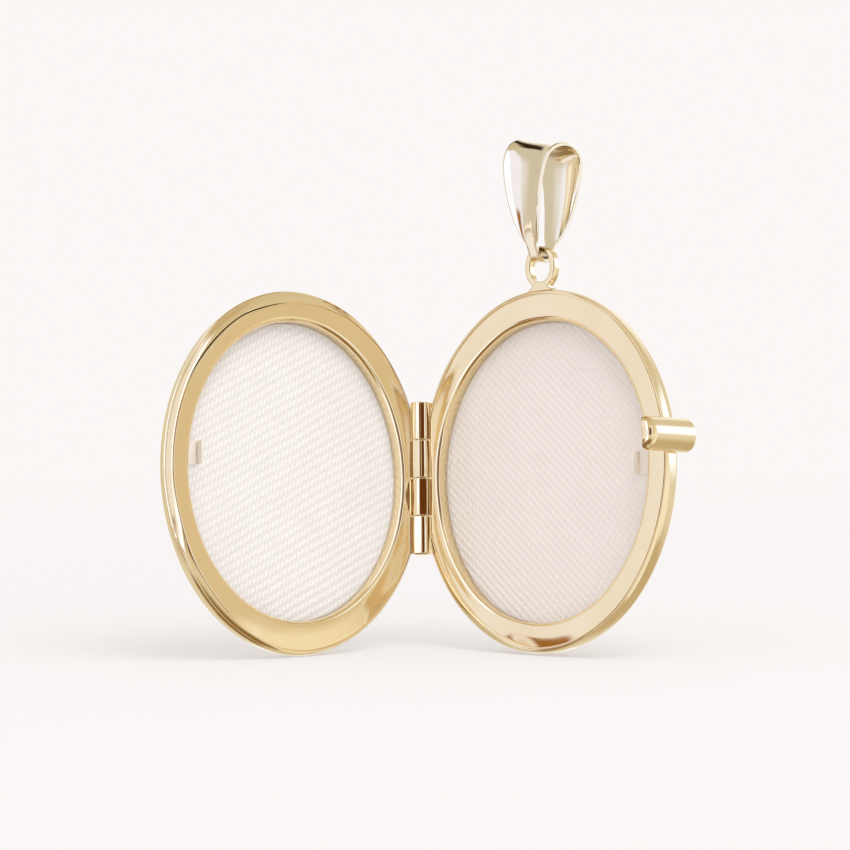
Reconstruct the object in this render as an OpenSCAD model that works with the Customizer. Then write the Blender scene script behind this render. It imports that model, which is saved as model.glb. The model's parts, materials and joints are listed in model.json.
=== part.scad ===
// Oval hinged photo locket on a tapered bail, shown open.
// Two domed leaves, each with a flat polished frame, a clear lens and a
// woven insert, joined by a four-knuckle barrel hinge. The back leaf carries
// the soldered loop for the bail and the catch bar that grips the cover.
// Units are millimetres. The origin is the centre of the bail's chain passage.
// +Z is up, the locket's front faces -Y, the chain runs near the X axis.

/* [Locket body] */
// Width of each oval leaf, hinge side to catch side
leaf_w = 20; // [14:0.5:30]
// Height of each oval leaf
leaf_h = 25; // [18:0.5:38]
// Straight wall depth of the back leaf
back_wall = 1.25; // [0.5:0.05:2]
// Straight wall depth of the front cover
front_wall = 1.0; // [0.5:0.05:2]
// Radius of the rounded shoulder between wall and dome, back leaf
back_shoulder = 1.0; // [0.5:0.05:1.5]
// Radius of the rounded shoulder between wall and dome, front cover
front_shoulder = 1.0; // [0.5:0.05:1.5]
// Sheet thickness of the stamped shells
sheet_t = 0.25; // [0.2:0.05:0.5]
// How far the side walls bulge
wall_bulge = 0.05; // [0:0.01:0.15]

/* [Frame, lens and insert] */
// Outer half width of the flat inner frame
frame_r = 9.71; // [8:0.01:10]
// Half width of the window where the flat frame ends
window_r = 8.64; // [7:0.02:9.2]
// Half width of the recess below the frame's rounded inner edge
recess_r = 8.34; // [6.8:0.02:9]
// Depth of the lens face below the rim
lens_d = 0.6; // [0.4:0.05:0.8]
// Thickness of the clear lens
lens_t = 0.35; // [0.2:0.05:0.5]
// Thickness of the woven insert
insert_t = 0.12; // [0.08:0.01:0.2]
// Thickness of the backing card
card_t = 0.14; // [0.1:0.01:0.3]

/* [Hinge] */
// Outer diameter of the hinge tube
barrel_d = 1.4; // [1:0.05:2]
// Diameter of the hinge pin
pin_d = 0.66; // [0.4:0.02:1]
// Radial running clearance of the pin in the cover's knuckles
pin_gap = 0.03; // [0.01:0.01:0.1]
// Length of one knuckle
knuckle_l = 2.55; // [1.5:0.05:4]
// End gap between knuckles
knuckle_gap = 0.1; // [0.04:0.01:0.2]
// Height of the barrel's middle above the leaf's middle
barrel_z = 0.15; // [-1:0.05:1]
// Angle between the two inner faces in the stored pose, 0 is closed
open_angle = 115.25; // [0:0.25:180]

/* [Catch] */
// Height of the catch above the leaf's middle
catch_z = 1.6; // [-4:0.1:4]
// Reach of the catch bar in front of the rim
catch_front = 3.5; // [1:0.1:4]
// Reach of the catch bar behind the rim
catch_rear = 2.2; // [1:0.1:3]
// Width of the catch bar at its soldered end
catch_w = 2.4; // [1.5:0.1:4]
// Width of the catch bar at its rounded tip
catch_tip_w = 2.3; // [1.2:0.05:4]
// Dip of the catch bar's front end
catch_dip = 4; // [0:0.5:8]

/* [Bail and loop] */
// Half width of the eye in the soldered loop
loop_ri = 0.82; // [0.5:0.05:1.5]
// Width of the loop's metal round the eye
loop_bar = 0.39; // [0.3:0.01:0.8]
// Half length of the loop's straight sides
loop_side = 0.23; // [0:0.01:0.6]
// Thickness of the soldered loop, front to back
loop_t = 0.75; // [0.5:0.05:1.2]
// Length of the bail, top circle centre to bend centre
bail_span = 5.4; // [4:0.05:9]
// Outer radius of the bail's wide top
bail_top_r = 1.97; // [1.5:0.01:3]
// Inner radius of the bend that holds the loop
bend_r = 0.61; // [0.5:0.01:1]
// Radius of the bail's gently curved sides
bail_side_r = 10.5; // [8:0.5:30]
// Sheet thickness of the bail
bail_t = 0.26; // [0.2:0.02:0.5]
// Width of the bail at its top
bail_w_top = 4.1; // [2.5:0.1:6]
// Width of the bail at its bend
bail_w_bend = 0.88; // [0.8:0.02:2]
// Turn of the bail about the vertical in the stored pose
bail_twist = -7; // [-20:0.5:20]
// Sideways lean of the bail in the stored pose
bail_roll = 6; // [-10:0.5:10]
// Forward lean of the bail in the stored pose
bail_pitch = 4.5; // [-40:0.5:40]

/* [Hidden] */
$fn = 96;

a = leaf_w / 2;
oval = leaf_h / leaf_w;              // vertical stretch of every oval
seat_x = a - 0.85;                   // flat seat for the hinge
hinge_x = -(a - 0.1);                // hinge axis, on the rim plane
half_gap = 0.03;                     // half the gap between closed rims
barrel_r = barrel_d / 2;
pin_r = pin_d / 2;
pitch = knuckle_l + knuckle_gap;
barrel_top = barrel_z + 2 * pitch - knuckle_gap / 2;
loop_z = leaf_h / 2 + 0.13 + loop_side + loop_ri + loop_bar;  // middle of the loop's eye
loop_y = half_gap + loop_t / 2;
swing_z = loop_z + 1.22;             // axis of the bail's bend
swing_x = -0.08;                     // the bail rests a little to one side
reach = bail_span - 0.15;            // chain passage above the bend
// Direction from the bend to the chain passage in the stored pose
rise = [cos(bail_pitch) * sin(bail_roll) * cos(bail_twist) + sin(bail_pitch) * sin(bail_twist),
        cos(bail_pitch) * sin(bail_roll) * sin(bail_twist) - sin(bail_pitch) * cos(bail_twist),
        cos(bail_pitch) * cos(bail_roll)];
tab_x = a - 2.67;                    // finger notch of the lens
catch_x = a + 0.15;                  // flat inner side of the catch bar
catch_out = a + 1.2;                 // rounded outer side of the catch bar

gold = [0.86, 0.70, 0.42];
gold_pale = [0.91, 0.80, 0.58];
clear = [0.92, 0.95, 0.97, 0.35];
cloth = [0.93, 0.90, 0.87];
card = [0.80, 0.77, 0.72];

// ---------------------------------------------------------------- helpers

// Half section of a shell's outside, taken in by off: [radius, depth]
function section(w, s, off) = let(
    e = 80, re = a - s + (s - off) * cos(e), de = w + (s - off) * sin(e),
    k = cos(e) / sin(e) / 2 / re)
  concat(
    [for (i = [0 : 6]) [a - off + wall_bulge * sin(30 * i), w * i / 6]],
    [for (i = [1 : 8]) [a - s + (s - off) * cos(e * i / 8), w + (s - off) * sin(e * i / 8)]],
    [for (i = [1 : 7]) let(r = re * (1 - i / 7)) [r, de + k * (re * re - r * r)]]);

// Stretch round work, built with its depth along Z, into an oval leaf
module oval_leaf() {
  translate([0, half_gap, 0]) scale([1, 1, oval]) rotate([-90, 0, 0]) children();
}

module shell_outside(w, s) {
  oval_leaf() rotate_extrude() polygon(concat([[0, 0]], section(w, s, 0)));
}

// Everything on the hinge side of the flat seat
module seat_cut() {
  translate([-seat_x - 5, -leaf_h, -1]) cube([5, 2 * leaf_h, 6]);
}

// Scallop in the rim that clears the other leaf's soldered knuckle
module knuckle_scallop() {
  z = barrel_top - 2.5 * pitch + knuckle_gap;
  translate([-seat_x - 2.1, -z / oval, -1]) cylinder(h = 1.4, r = 2.3);
}

// Stamped domed shell with a flat seat for the hinge
module shell(w, s, cover = false) {
  inner = section(w, s, sheet_t);
  n = len(inner);
  oval_leaf() difference() {
    rotate_extrude() polygon(concat(section(w, s, 0), [for (i = [n - 1 : -1 : 0]) inner[i]]));
    seat_cut();
    if (cover) {
      knuckle_scallop();
      translate([a + 0.02, -(catch_z + 0.6) / oval, 0.35]) rotate([-90, 0, 0])
        cylinder(h = 1.2 / oval, r = 0.14);
    }
  }
}

// Strip that closes the shell behind the hinge
module hinge_plate(w, s) {
  oval_leaf() intersection() {
    rotate_extrude() polygon(concat([[0, 0]], section(w, s, sheet_t)));
    translate([-seat_x, -5, 0.39]) cube([0.28, 10, 2.2]);
  }
}

// Flat frame with a rounded inner edge, an inner wall and a ledge
module frame_ring(cover = false) {
  oval_leaf() difference() {
    rotate_extrude() polygon(concat(
      [[frame_r, 0.03], [frame_r, 0.34], [recess_r + 0.27, 0.34], [recess_r + 0.27, 1.38],
       [recess_r - 0.35, 1.38], [recess_r - 0.35, 1.24], [recess_r, 1.24]],
      [for (i = [0 : 5]) [window_r - (window_r - recess_r) * cos(18 * i),
                          0.03 + 0.37 * (1 - sin(18 * i))]]));
    seat_cut();
    if (cover) knuckle_scallop();
  }
}

module oval_disc(r, d0, t) {
  oval_leaf() translate([0, 0, d0]) cylinder(h = t, r = r);
}

// Clear lens with a finger notch at its edge and a small upstand beside it
module lens(tab_z) {
  oval_leaf() difference() {
    translate([0, 0, lens_d]) cylinder(h = lens_t, r = recess_r - 0.03);
    translate([tab_x + 0.08, -(tab_z + 0.8) / oval, lens_d - 1]) cube([3, 1.6 / oval, 3]);
  }
  translate([tab_x, half_gap + 0.06, tab_z - 0.8]) cube([0.08, lens_d + lens_t - 0.06, 1.6]);
}

// One knuckle with its soldered foot, i counts from the top
module knuckle(i, bore) {
  z0 = barrel_top - i * pitch - knuckle_l;
  difference() {
    union() {
      translate([hinge_x, 0, z0]) cylinder(h = knuckle_l, r = barrel_r);
      translate([hinge_x, 0.12, z0]) cube([-hinge_x - seat_x, 0.46, knuckle_l]);
    }
    translate([hinge_x, 0, z0 - 1]) cylinder(h = knuckle_l + 2, r = bore);
  }
}

// Stored place of the back leaf
module back_leaf() {
  translate(-reach * rise - [swing_x, loop_y, swing_z]) children();
}

// Stored place of the front cover: modelled like a back leaf, then mirrored
// and swung open about the hinge
module front_leaf() {
  back_leaf() translate([hinge_x, 0, 0]) rotate([0, 0, -open_angle])
    translate([-hinge_x, 0, 0]) mirror([0, 1, 0]) children();
}

// ---------------------------------------------------------------- the bail

// Side view: wide round top, small round bend, gently curved sides
module bail_side(grow) {
  ro = bail_top_r + grow;
  rb = bend_r + bail_t + grow;
  rs = bail_side_r + grow;
  n = 10;
  cz = (bail_span * bail_span + (ro - rb) * (2 * rs - rb - ro)) / 2 / bail_span;
  cx = sqrt(pow(rs - rb, 2) - cz * cz);
  e0 = -atan2(cz, cx);
  e1 = atan2(bail_span - cz, cx);
  right = [for (i = [0 : n]) let(e = e0 + (e1 - e0) * i / n) [rs * cos(e) - cx, cz + rs * sin(e)]];
  circle(r = rb);
  translate([0, bail_span]) circle(r = ro);
  polygon(concat([[0, 0]], right, [[0, bail_span]],
    [for (i = [n : -1 : 0]) [-right[i][0], right[i][1]]]));
}

// Front view: narrow through the loop's eye, then widening to the top
module bail_face() {
  lo = -bend_r - bail_t - 0.04;
  flare = 0.45;
  hi = bail_span + bail_top_r + 0.04;
  n = 12;
  function half(i) = bail_w_bend / 2 + (bail_w_top - bail_w_bend) / 2 * pow(i / n, 0.74);
  polygon(concat([[bail_w_bend / 2, lo]],
    [for (i = [0 : n]) [half(i), flare + (hi - flare) * i / n]],
    [for (i = [n : -1 : 0]) [-half(i), flare + (hi - flare) * i / n]],
    [[-bail_w_bend / 2, lo]]));
}

module bail() {
  color(gold_pale)
  rotate([bail_pitch, bail_roll, bail_twist]) translate([0, 0, -reach])
  intersection() {
    rotate([90, 0, 90]) translate([0, 0, -4]) linear_extrude(8)
      difference() { bail_side(0); bail_side(-bail_t); }
    rotate([90, 0, 0]) translate([0, 0, -4]) linear_extrude(8) bail_face();
  }
}

// Rounded section of the loop's metal, drawn to the right of the eye's edge
module loop_section() {
  c = 0.15;
  translate([loop_ri + c, -loop_t / 2]) square([loop_bar - 2 * c, loop_t]);
  translate([loop_ri, -loop_t / 2 + c]) square([loop_bar, loop_t - 2 * c]);
  for (p = [loop_ri + c, loop_ri + loop_bar - c], q = [-1, 1])
    translate([p, q * (loop_t / 2 - c)]) circle(r = c, $fn = 32);
}

// Long loop: two round ends, two straight sides and a flared foot on the rim
module bail_loop() {
  foot = leaf_h / 2;
  color(gold_pale) back_leaf() difference() {
    union() {
      translate([0, loop_y, loop_z]) {
        for (q = [-1, 1]) intersection() {
          translate([0, 0, q * loop_side]) rotate([90, 0, 0]) rotate_extrude() loop_section();
          translate([-3, -2, q > 0 ? loop_side : -loop_side - 3]) cube([6, 4, 3]);
        }
        for (r = [0, 180]) rotate([0, 0, r]) translate([0, 0, -loop_side])
          linear_extrude(2 * loop_side) loop_section();
      }
      translate([0, half_gap + 0.05, 0]) rotate([-90, 0, 0]) linear_extrude(loop_t - 0.1)
        polygon([[-0.9, -foot + 0.15], [-0.72, -foot - 0.12], [-0.62, -foot - 0.3],
                 [0.62, -foot - 0.3], [0.72, -foot - 0.12], [0.9, -foot + 0.15]]);
    }
    shell_outside(back_wall, back_shoulder);
  }
}

// ------------------------------------------------------------ the back leaf

module back_shell() {
  color(gold) back_leaf() shell(back_wall, back_shoulder);
}
module back_frame() {
  color(gold_pale) back_leaf() frame_ring();
}
module back_lens() {
  color(clear) back_leaf() lens(0);
}
module back_insert() {
  color(cloth) back_leaf() oval_disc(recess_r - 0.05, lens_d + lens_t, insert_t);
}
module back_card() {
  color(card) back_leaf() oval_disc(recess_r - 0.05, lens_d + lens_t + insert_t, card_t);
}
module back_hinge_plate() {
  color(gold) back_leaf() hinge_plate(back_wall, back_shoulder);
}
module back_knuckle_top() {
  color(gold) back_leaf() knuckle(0, pin_r);
}
module back_knuckle_low() {
  color(gold) back_leaf() knuckle(2, pin_r);
}

module hinge_pin() {
  z1 = barrel_top;
  z0 = barrel_top - 4 * pitch + knuckle_gap - 0.05;
  n = 6;
  color(gold_pale) back_leaf() translate([hinge_x, 0, 0]) {
    translate([0, 0, z0]) cylinder(h = z1 - z0, r = pin_r);
    translate([0, 0, z1]) rotate_extrude() polygon(concat([[0, 0]],
      [for (i = [0 : n]) [0.52 * cos(90 * i / n), 0.06 * sin(90 * i / n)]]));
    translate([0, 0, z0]) mirror([0, 0, 1]) rotate_extrude() polygon(concat([[0, 0]],
      [for (i = [0 : n]) [0.5 * cos(90 * i / n), 0.05 * sin(90 * i / n)]]));
  }
}

// Half-round bar along the leaf's depth with a domed tip, dipping to the front
module catch_bar() {
  r0 = catch_w / 2;
  r1 = catch_tip_w / 2;
  color(gold) back_leaf() {
    difference() {
      union() {
        translate([0, 0, catch_z]) rotate([catch_dip, 0, 0]) intersection() {
          translate([catch_out - r0, catch_rear, 0]) rotate([90, 0, 0])
            cylinder(h = catch_front + catch_rear, r1 = r0, r2 = r1);
          union() {
            translate([catch_x, 1.0 - catch_front, -3])
              cube([4, catch_front + catch_rear - 1.0, 6]);
            intersection() {
              translate([catch_out - 0.95, 1.9 - catch_front, 0]) sphere(r = 1.9);
              translate([catch_x, -catch_front - 1, -3]) cube([4, 3, 6]);
            }
          }
        }
        translate([a - 0.5, 0.12, catch_z - 0.85]) cube([0.8, back_wall + 0.3, 1.7]);
      }
      shell_outside(back_wall, back_shoulder);
    }
  }
}

module catch_bead() {
  color(gold_pale) back_leaf() intersection() {
    translate([catch_x + 0.02, -0.38, catch_z - 0.5]) cylinder(h = 1, r = 0.11);
    translate([catch_x - 1, -1, catch_z - 1]) cube([1, 2, 2]);
  }
}

// ---------------------------------------------------------- the front cover

// Shell with the scallop round the back leaf's lower knuckle and the
// groove that the catch bead drops into
module front_shell() {
  color(gold) front_leaf() shell(front_wall, front_shoulder, cover = true);
}
module front_frame() {
  color(gold_pale) front_leaf() frame_ring(cover = true);
}
module front_lens() {
  color(clear) front_leaf() lens(1.0);
}
module front_insert() {
  color(cloth) front_leaf() oval_disc(recess_r - 0.05, lens_d + lens_t, insert_t);
}
module front_card() {
  color(card) front_leaf() oval_disc(recess_r - 0.05, lens_d + lens_t + insert_t, card_t);
}
module front_hinge_plate() {
  color(gold) front_leaf() hinge_plate(front_wall, front_shoulder);
}
module front_knuckle_high() {
  color(gold) front_leaf() knuckle(1, pin_r + pin_gap);
}
module front_knuckle_bottom() {
  color(gold) front_leaf() knuckle(3, pin_r + pin_gap);
}

// ------------------------------------------------------------------ output

bail();
bail_loop();
back_shell();
back_frame();
back_lens();
back_insert();
back_card();
back_hinge_plate();
back_knuckle_top();
back_knuckle_low();
hinge_pin();
catch_bar();
catch_bead();
front_shell();
front_frame();
front_lens();
front_insert();
front_card();
front_hinge_plate();
front_knuckle_high();
front_knuckle_bottom();
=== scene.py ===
# Oval photo locket, stored open: a domed back leaf and a domed front cover on a
# four-knuckle hinge, a tapered bail on a soldered loop, and a half-round catch bar.
# Leaf-local coordinates in millimetres: x runs from hinge to catch, z is up and
# depth runs behind the rim. They go to the shared frame through place_back,
# place_front and place_bail, which repeat the stored pose of the CAD source.
import json
import math

import bmesh
import bpy
import numpy as np
from mathutils import Matrix, Vector

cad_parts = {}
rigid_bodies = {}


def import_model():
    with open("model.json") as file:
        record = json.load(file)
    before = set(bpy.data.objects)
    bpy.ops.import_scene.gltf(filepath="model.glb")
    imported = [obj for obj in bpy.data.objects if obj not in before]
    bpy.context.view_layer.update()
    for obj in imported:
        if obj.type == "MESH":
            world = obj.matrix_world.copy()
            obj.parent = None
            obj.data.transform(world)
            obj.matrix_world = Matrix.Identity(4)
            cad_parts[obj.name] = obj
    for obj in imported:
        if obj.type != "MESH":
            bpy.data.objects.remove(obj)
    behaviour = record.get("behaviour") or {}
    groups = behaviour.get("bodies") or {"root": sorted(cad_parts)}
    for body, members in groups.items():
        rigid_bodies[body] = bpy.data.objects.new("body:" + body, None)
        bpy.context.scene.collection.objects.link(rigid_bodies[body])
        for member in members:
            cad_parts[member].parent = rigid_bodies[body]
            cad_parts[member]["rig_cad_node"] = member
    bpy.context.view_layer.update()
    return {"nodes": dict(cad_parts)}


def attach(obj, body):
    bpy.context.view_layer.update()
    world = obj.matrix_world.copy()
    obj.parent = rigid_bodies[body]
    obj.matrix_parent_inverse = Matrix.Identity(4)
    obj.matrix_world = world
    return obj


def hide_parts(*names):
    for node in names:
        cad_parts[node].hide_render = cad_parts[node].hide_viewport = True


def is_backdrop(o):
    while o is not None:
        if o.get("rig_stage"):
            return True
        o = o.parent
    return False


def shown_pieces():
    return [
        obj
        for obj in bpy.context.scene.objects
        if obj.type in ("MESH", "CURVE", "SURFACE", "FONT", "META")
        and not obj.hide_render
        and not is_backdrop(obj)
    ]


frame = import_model()

MM = 0.001
A, OVAL = 10.0, 1.25                  # half width of a leaf, height over width
HALF_GAP = 0.03
HINGE_X, SEAT_X = -9.9, -9.15
OPEN_ANGLE = math.radians(-115.25)
OPEN_TURN = -math.pi / 2 - OPEN_ANGLE
LOOP_Z, LOOP_Y = 14.07, 0.405         # middle of the loop's eye
SWING_Z, SWING_X = 15.29, -0.08       # the bail's bend, leaf-local
REACH = 5.25                          # bend to chain passage
PITCH_X, ROLL_Y, TWIST_Z = (math.radians(v) for v in (4.5, 6.0, -7.0))
BAIL_TURN = np.array(Matrix.Rotation(TWIST_Z, 3, "Z") @ Matrix.Rotation(ROLL_Y, 3, "Y")
                     @ Matrix.Rotation(PITCH_X, 3, "X"))
SHIFT = BAIL_TURN @ np.array([0, 0, -REACH]) - np.array([SWING_X, LOOP_Y, SWING_Z])
CAMERA_AZ, CAMERA_EL = math.radians(33.84), math.radians(-7.33)


# ------------------------------------------------------------------ placing
def place_back(p):
    return np.asarray(p, float) + SHIFT


def place_front(p):
    p = np.array(p, float)
    x, y = p[..., 0] - HINGE_X, -p[..., 1]
    c, s = math.cos(OPEN_ANGLE), math.sin(OPEN_ANGLE)
    q = np.stack([c * x - s * y + HINGE_X, s * x + c * y, p[..., 2]], -1)
    return q + SHIFT


def on_leaf(r, theta, depth):
    """A point of an oval leaf from its round radius, angle and depth."""
    r, theta, depth = np.broadcast_arrays(r, theta, depth)
    return np.stack([r * np.cos(theta), depth + HALF_GAP,
                     OVAL * r * np.sin(theta)], -1)


# ------------------------------------------------------------------- meshes
def grid_faces(nu, nv, wrap_u=False, wrap_v=False, start=0):
    faces = []
    for i in range(nu if wrap_u else nu - 1):
        i2 = (i + 1) % nu
        for j in range(nv if wrap_v else nv - 1):
            j2 = (j + 1) % nv
            faces.append((start + i * nv + j, start + i2 * nv + j,
                          start + i2 * nv + j2, start + i * nv + j2))
    return faces


def make(name, verts, faces, place, merge=1e-5, cut=None, sharp=32):
    """A closed smooth-shaded mesh object from points in leaf millimetres."""
    me = bpy.data.meshes.new(name)
    me.from_pydata([tuple(v) for v in verts], [], faces)
    bm = bmesh.new()
    bm.from_mesh(me)
    bmesh.ops.remove_doubles(bm, verts=bm.verts, dist=merge)
    bmesh.ops.dissolve_degenerate(bm, dist=1e-6, edges=bm.edges)
    if cut:
        point, normal = cut
        geom = bm.verts[:] + bm.edges[:] + bm.faces[:]
        done = bmesh.ops.bisect_plane(bm, geom=geom, dist=1e-5, plane_co=point,
                                      plane_no=normal, clear_outer=True)
        rim = [e for e in done["geom_cut"] if isinstance(e, bmesh.types.BMEdge)]
        bmesh.ops.triangle_fill(bm, use_beauty=True, edges=rim)
    bmesh.ops.recalc_face_normals(bm, faces=bm.faces)
    for v in bm.verts:
        v.co = Vector(place(np.array(v.co)) * MM)
    return settle(name, me, bm, sharp)


def settle(name, me, bm, sharp):
    """Writes bm to its mesh, outside out and smooth, and links it as an object."""
    bm.to_mesh(me)
    bm.free()
    if signed_volume(me) < 0:
        me.flip_normals()
    me.polygons.foreach_set("use_smooth", [True] * len(me.polygons))
    me.set_sharp_from_angle(angle=math.radians(sharp))
    return link(name, me)


def link(name, data):
    ob = bpy.data.objects.new(name, data)
    bpy.context.scene.collection.objects.link(ob)
    return ob


def signed_volume(me):
    me.calc_loop_triangles()
    co = np.array([v.co for v in me.vertices])
    tri = np.array([t.vertices for t in me.loop_triangles])
    a, b, c = co[tri[:, 0]], co[tri[:, 1]], co[tri[:, 2]]
    return float(np.einsum("ij,ij->i", a, np.cross(b, c)).sum() / 6)


def finish_piece(ob, body, material, slot, *nodes):
    ob.data.materials.append(material)
    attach(ob, body)
    if nodes:
        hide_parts(*nodes)


def smooth_table(theta, table):
    """Periodic smooth interpolation of {angle in degrees: value}."""
    at = np.radians(sorted(table))
    val = np.array([table[k] for k in sorted(table)], float)
    at = np.concatenate([at - 2 * np.pi, at, at + 2 * np.pi])
    val = np.tile(val, 3)
    t = np.mod(theta, 2 * np.pi)
    i = np.searchsorted(at, t, side="right") - 1
    f = (t - at[i]) / (at[i + 1] - at[i])
    f = f * f * (3 - 2 * f)
    return val[i] * (1 - f) + val[i + 1] * f


# ---------------------------------------------------------------- the leaves
def clock(*pairs, mirrored):
    """Clock angles, as the open leaf is seen, to leaf angles."""
    return {(90 + t if mirrored else 90 - t) % 360: v for t, v in pairs}


# For each leaf: wall, the depth where its side wall ends; notch, whether its frame
# clears a tube; lip, bevel and gap, the lip's width and slope and the seam beside it,
# by clock angle; window and wave, how window and rim stray from their ovals; tab, the
# height of the lens's finger notch.
LEAVES = {
    "back": dict(
        place=place_back, body="back_leaf", wall=1.25, notch=False,
        lip=clock((0, .25), (30, .16), (60, .11), (90, .10), (120, .10), (150, .13),
                  (180, .20), (200, .42), (225, .52), (245, .42), (270, .30),
                  (300, .24), (330, .24), mirrored=False),
        bevel=clock((0, .08), (90, .03), (180, .06), (215, .13), (270, .1),
                    mirrored=False),
        gap=clock((0, .03), (45, .012), (90, .02), (180, .008), (215, .03), (270, .03),
                  (320, .01), mirrored=False),
        window=lambda t: 0.13 * np.abs(np.cos(t)) - 0.10 * np.sin(t)
        + 0.02 * np.sin(5 * t + 0.4) + 0.012 * np.sin(11 * t),
        wave=lambda t: 0.018 * np.sin(3 * t + 0.6) + 0.012 * np.sin(7 * t + 2.0)
        + 0.008 * np.sin(13 * t + 1.0),
        tab=0.0),
    "front": dict(
        place=place_front, body="front_cover", wall=1.0, notch=True,
        lip=clock((0, .64), (15, .50), (30, .28), (45, .10), (90, .10), (150, .13),
                  (185, .22), (203, .30), (222, .44), (246, .42), (270, .36),
                  (300, .38), (330, .54), (348, .64), mirrored=True),
        bevel=clock((0, .21), (15, .13), (30, .06), (45, .015), (90, .03), (185, .05),
                    (203, .17), (222, .25), (240, .22), (252, .46), (300, .49),
                    (318, .46), (330, .38), (348, .23), mirrored=True),
        gap=clock((20, .008), (90, .008), (200, .006), (240, .008), (262, .012),
                  (285, .05), (312, .17), (340, .12), (8, .02), mirrored=True),
        window=lambda t: -0.16 * np.maximum(0, -np.sin(t)) ** 3
        + 0.012 * np.sin(4 * t + 1.4),
        wave=lambda t: 0.016 * np.sin(4 * t + 1.1) + 0.012 * np.sin(7 * t + 0.2)
        + 0.008 * np.sin(12 * t + 2.0),
        tab=1.0),
}
SHEET = 0.25                                    # of a shell
SHOULDER, SHOULDER_TURN = 1.0, math.radians(80)
LIP_FACE, LIP_ROUND, LIP_REAR = 0.02, 0.03, 0.34
RIM_ROUND = 0.05                                # outer edge of the rim
WALL_BELLY, WALL_WAVE = 0.05, 0.012             # hand-finished side wall
WALL_IN = 0.5                                   # where the inside of the wall starts
WINDOW_R, RECESS_R = 8.64, 8.34
FRAME_FACE, FRAME_ROUND, WINDOW_ROUND = 0.03, 0.035, 0.37
FLANGE_TOP, FLANGE_OUT = 0.13, 0.07             # of the frame, under the lip
FACET_DEPTH, FRAME_WAVE = 0.20, 0.006           # traces of polishing by hand
WINDOW_MIN = 0.06                               # least width of the frame's face
RECESS_DEPTH, LEDGE_TOP, LEDGE_REAR = 0.8, 1.24, 1.38
LEDGE_IN, RECESS_WALL = 0.35, 0.27
NOTCH_MID, NOTCH_C, NOTCH_A, NOTCH_B = -1.175, -9.75, 1.0, 1.62


def seam_radius(leaf, t):
    return A + leaf["wave"](t) - smooth_table(t, leaf["lip"])


def build_shell(side):
    leaf = LEAVES[side]
    n = 540
    t = np.linspace(0, 2 * np.pi, n, endpoint=False)
    w, s = leaf["wall"], SHOULDER
    wave, seam = leaf["wave"](t), seam_radius(leaf, t)
    bev = smooth_table(t, leaf["bevel"])
    lip_in, lip_top = seam + LIP_FACE + LIP_ROUND, LIP_FACE + LIP_ROUND
    # each row: (radius(t), depth(t))
    rows = [(seam + LIP_FACE, 0 * t + LIP_REAR), (seam + LIP_FACE, 0 * t + lip_top)]
    for k in range(1, 4):                       # rounded inner edge of the lip
        a = math.pi / 2 * k / 3
        rows.append((seam + LIP_FACE + LIP_ROUND * (1 - math.cos(a)),
                     0 * t + lip_top - LIP_ROUND * math.sin(a)))
    span = (A + wave - RIM_ROUND) - lip_in
    for k in range(1, 9):                       # bevelled lip, slightly crowned
        f = k / 9
        rows.append((lip_in + span * f, LIP_FACE + bev * (0.55 * f + 0.45 * f * f)))
    for k in range(0, 6):                       # rounded outer edge
        a = math.pi / 2 * k / 5
        rows.append((A + wave - RIM_ROUND * (1 - math.sin(a)),
                     LIP_FACE + bev + 1.6 * RIM_ROUND * (1 - math.cos(a))))
    d0 = LIP_FACE + bev + 1.6 * RIM_ROUND
    for k in range(1, 10):                      # side wall
        f = k / 9
        d = d0 + (w - d0) * f
        fade = 1 - f * 0.6
        rows.append((A + wave * fade + WALL_BELLY * np.sin(np.pi * d / w)
                     + WALL_WAVE * np.sin(9 * t + 5 * d) * np.sin(math.pi * f), d))
    e = SHOULDER_TURN
    for k in range(1, 15):                      # shoulder
        a = e * k / 14
        rows.append((A - s + s * math.cos(a) + 0.4 * wave * (1 - k / 14),
                     w + s * math.sin(a) + 0 * t))

    def dome(radius, parts):
        """Parabolic dome that runs on from a shoulder of this radius without a kink."""
        r0, d0 = A - s + radius * math.cos(e), w + radius * math.sin(e)
        bulge = math.cos(e) / math.sin(e) / 2 / r0
        return [(r0 * q + 0 * t, d0 + bulge * (r0 * r0 - r0 * q * (r0 * q)) + 0 * t)
                for q in parts]

    rows += dome(s, [1 - k / 48 for k in range(1, 49)])
    s2 = s - SHEET                              # inside, from the pole to the lip
    rows += dome(s2, [k / 9 for k in range(10)])
    for k in range(9, 0, -1):
        a = e * k / 9
        rows.append((A - s + s2 * math.cos(a) + 0 * t, w + s2 * math.sin(a) + 0 * t))
    for k in range(4, -1, -1):
        rows.append((A - SHEET + 0 * t, WALL_IN + (w - WALL_IN) * k / 4 + 0 * t))
    pts = np.stack([on_leaf(r, t, d) for r, d in rows], 1)      # n x m x 3
    m = pts.shape[1]
    faces = grid_faces(n, m, wrap_u=True, wrap_v=True)
    # the two poles are where outside meets inside: no face joins them
    pole = [i for i, (r, _) in enumerate(rows) if np.max(np.abs(r)) < 1e-9]
    skip = {(pole[0], pole[1])}
    keep = [f for f in faces if (f[0] % m, f[3] % m) not in skip]
    return make(f"shell_{side}", pts.reshape(-1, 3), keep, leaf["place"],
                cut=((SEAT_X, 0, 0), (-1, 0, 0)))


def notch_limit(t):
    """Round radius at which the clearance notch starts, along each angle."""
    out = np.full_like(t, 99.0)
    dx, dz = np.cos(t), OVAL * np.sin(t)
    a = (dx / NOTCH_A) ** 2 + (dz / NOTCH_B) ** 2
    b = -2 * (dx * NOTCH_C / NOTCH_A ** 2 + dz * NOTCH_MID / NOTCH_B ** 2)
    c = (NOTCH_C / NOTCH_A) ** 2 + (NOTCH_MID / NOTCH_B) ** 2 - 1
    disc = b * b - 4 * a * c
    hit = disc > 0
    out[hit] = (-b[hit] - np.sqrt(disc[hit])) / (2 * a[hit])
    out[out < 0] = 99
    return out


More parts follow.
